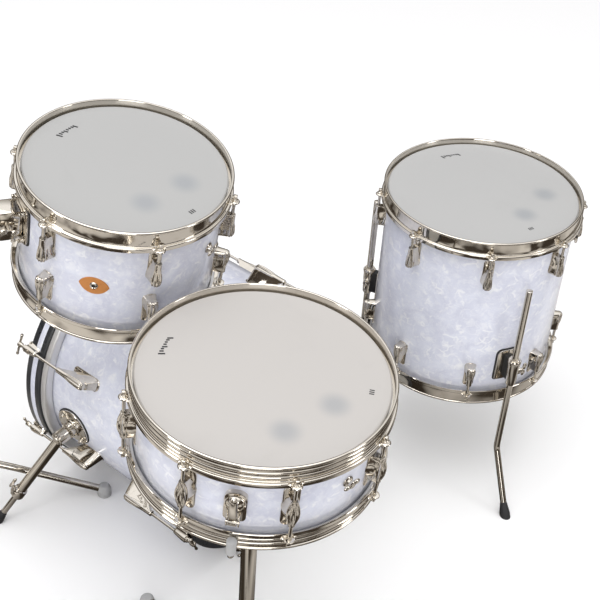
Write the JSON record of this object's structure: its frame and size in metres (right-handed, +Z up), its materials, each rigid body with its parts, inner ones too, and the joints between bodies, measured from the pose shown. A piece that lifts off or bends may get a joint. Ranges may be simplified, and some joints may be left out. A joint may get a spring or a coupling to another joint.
{
  "type": "acoustic drum kit",
  "caption": "Acoustic drum kit in white pearl wrap with polished nickel fittings: bass drum on spurs, rack tom, floor tom on legs and snare drum on a stand",
  "frame": {"origin": "centre of the kit's footprint box, on the floor", "axes": "+X towards the drummer's left, the kit's widest direction; +Y towards the drummer; +Z up"},
  "size_m": [1.3472, 1.127, 0.883],
  "materials": {
    "pearl": "white marine pearl wrap, high gloss",
    "coated_film": "coated film with a fine grain",
    "nickel": "polished nickel plating",
    "black_lacquer": "black lacquered maple hoop",
    "rubber": "matt black rubber",
    "badge": "copper-toned plate",
    "steel_wire": "coiled steel wire"
  },
  "bodies": {
    "bass_drum": {"bass_shell": "pearl", "bass_batter_head": "coated_film", "bass_front_head": "coated_film", "bass_batter_hoop": "black_lacquer", "bass_front_hoop": "black_lacquer", "bass_hoop_inlays": "pearl", "bass_lugs": "nickel", "bass_claws": "nickel", "bass_t_rods": "nickel", "spur_brackets": "nickel", "spur_gaskets": "rubber"},
    "spur_left": {"spur_tube_left": "nickel"},
    "spur_left_rod": {"spur_rod_left": "nickel"},
    "spur_right": {"spur_tube_right": "nickel"},
    "spur_right_rod": {"spur_rod_right": "nickel"},
    "tom_stand": {"tom_stand_base": "nickel", "tom_stand_legs": "nickel"},
    "tom_stand_post": {"tom_stand_tube": "nickel"},
    "tom_arm": {"tom_holder_arm": "nickel"},
    "rack_tom": {"tom_shell": "pearl", "tom_batter_head": "coated_film", "tom_resonant_head": "coated_film", "tom_top_hoop": "nickel", "tom_bottom_hoop": "nickel", "tom_lugs": "nickel", "tom_tension_rods": "nickel", "tom_badge": "badge", "tom_bracket": "nickel", "tom_bracket_gasket": "rubber"},
    "tom_muffler": {"tom_muffler_knob": "nickel"},
    "floor_tom": {"floor_tom_shell": "pearl", "floor_tom_batter_head": "coated_film", "floor_tom_resonant_head": "coated_film", "floor_tom_top_hoop": "nickel", "floor_tom_bottom_hoop": "nickel", "floor_tom_lugs": "nickel", "floor_tom_tension_rods": "nickel", "floor_tom_leg_brackets": "nickel", "floor_tom_leg_gaskets": "rubber"},
    "floor_tom_leg_a": {"floor_tom_leg_1": "nickel"},
    "floor_tom_leg_b": {"floor_tom_leg_2": "nickel"},
    "floor_tom_leg_c": {"floor_tom_leg_3": "nickel"},
    "floor_tom_muffler": {"floor_tom_muffler_knob": "nickel"},
    "snare_stand": {"snare_stand_base": "nickel", "snare_stand_legs": "nickel"},
    "snare_stand_post": {"snare_stand_tube": "nickel"},
    "snare_drum": {"snare_stand_basket": "nickel", "snare_shell": "pearl", "snare_batter_head": "coated_film", "snare_resonant_head": "coated_film", "snare_top_hoop": "nickel", "snare_bottom_hoop": "nickel", "snare_lugs": "nickel", "snare_tension_rods": "nickel", "snare_strainer": "nickel", "snare_butt_plate": "nickel"},
    "snare_lever": {"snare_throw_lever": "nickel"},
    "snare_wire_band": {"snare_wires": "steel_wire"},
    "snare_muffler": {"snare_muffler_knob": "nickel"}
  },
  "joints": [
    {"name": "spur_left_fold", "type": "hinge", "parent": "bass_drum", "child": "spur_left", "pos_m": [0.33652, -0.14932, 0.21152], "axis": [0.9885, 0, -0.1513], "range_deg": [-15, 110]},
    {"name": "spur_left_extend", "type": "slide", "parent": "spur_left", "child": "spur_left_rod", "axis": [0.4067, -0.3509, -0.8435], "range_m": [-0.04, 0.06]},
    {"name": "spur_right_fold", "type": "hinge", "parent": "bass_drum", "child": "spur_right", "pos_m": [-0.17947, -0.14932, 0.21152], "axis": [0.9885, 0, 0.1513], "range_deg": [-15, 110]},
    {"name": "spur_right_extend", "type": "slide", "parent": "spur_right", "child": "spur_right_rod", "axis": [-0.4067, -0.3509, -0.8435], "range_m": [-0.04, 0.06]},
    {"name": "tom_stand_place", "type": "slide", "parent": "bass_drum", "child": "tom_stand", "axis": [0.7133, -0.7009, 0], "range_m": [0, 0.15]},
    {"name": "tom_stand_height", "type": "slide", "parent": "tom_stand", "child": "tom_stand_post", "axis": [0, 0, 1], "range_m": [-0.06, 0.12]},
    {"name": "tom_arm_swivel", "type": "hinge", "parent": "tom_stand_post", "child": "tom_arm", "pos_m": [0.42352, -0.31232, 0.79005], "axis": [0, 0, 1], "range_deg": [0, 30]},
    {"name": "tom_tilt", "type": "hinge", "parent": "tom_arm", "child": "rack_tom", "pos_m": [0.44783, -0.06591, 0.78489], "axis": [0.8988, -0.4325, 0.0716], "range_deg": [-6, 20]},
    {"name": "tom_muffler_turn", "type": "hinge", "parent": "rack_tom", "child": "tom_muffler", "pos_m": [0.26725, 0.14896, 0.75034], "axis": [-0.2419, 0.9573, -0.1585], "range_deg": [0, 180]},
    {"name": "floor_tom_place", "type": "slide", "parent": "bass_drum", "child": "floor_tom", "axis": [-1, 0, 0], "range_m": [0, 0.15]},
    {"name": "floor_tom_leg_a_height", "type": "slide", "parent": "floor_tom", "child": "floor_tom_leg_a", "axis": [0, 0, 1], "range_m": [-0.12, 0.1]},
    {"name": "floor_tom_leg_b_height", "type": "slide", "parent": "floor_tom", "child": "floor_tom_leg_b", "axis": [0, 0, 1], "range_m": [-0.12, 0.1]},
    {"name": "floor_tom_leg_c_height", "type": "slide", "parent": "floor_tom", "child": "floor_tom_leg_c", "axis": [0, 0, 1], "range_m": [-0.12, 0.1]},
    {"name": "floor_tom_muffler_turn", "type": "hinge", "parent": "floor_tom", "child": "floor_tom_muffler", "pos_m": [-0.45966, 0.39832, 0.5399], "axis": [-0.3746, 0.9272, 0], "range_deg": [0, 180]},
    {"name": "snare_stand_place", "type": "slide", "parent": "bass_drum", "child": "snare_stand", "axis": [0, 1, 0], "range_m": [0, 0.15]},
    {"name": "snare_stand_height", "type": "slide", "parent": "snare_stand", "child": "snare_stand_post", "axis": [0, 0, 1], "range_m": [-0.08, 0.1]},
    {"name": "snare_tilt", "type": "hinge", "parent": "snare_stand_post", "child": "snare_drum", "pos_m": [0.38362, 0.35599, 0.50772], "axis": [1, 0, 0], "range_deg": [-10, 1]},
    {"name": "snare_throw_off", "type": "hinge", "parent": "snare_drum", "child": "snare_lever", "pos_m": [0.55238, 0.46808, 0.61627], "axis": [-0.5299, 0.8466, -0.0503], "range_deg": [0, 70]},
    {"name": "snare_wire_drop", "type": "hinge", "parent": "snare_drum", "child": "snare_wire_band", "pos_m": [0.24369, 0.27203, 0.56881], "axis": [-0.5299, 0.8466, -0.0503], "range_deg": [0, 0.7]},
    {"name": "snare_muffler_turn", "type": "hinge", "parent": "snare_drum", "child": "snare_muffler", "pos_m": [0.40519, 0.53943, 0.63307], "axis": [0.1219, 0.9908, -0.0589], "range_deg": [0, 180]}
  ],
  "couplings": [
    {"joint": "snare_wire_drop", "follows": "snare_throw_off", "ratio": 0.0085714}
  ]
}
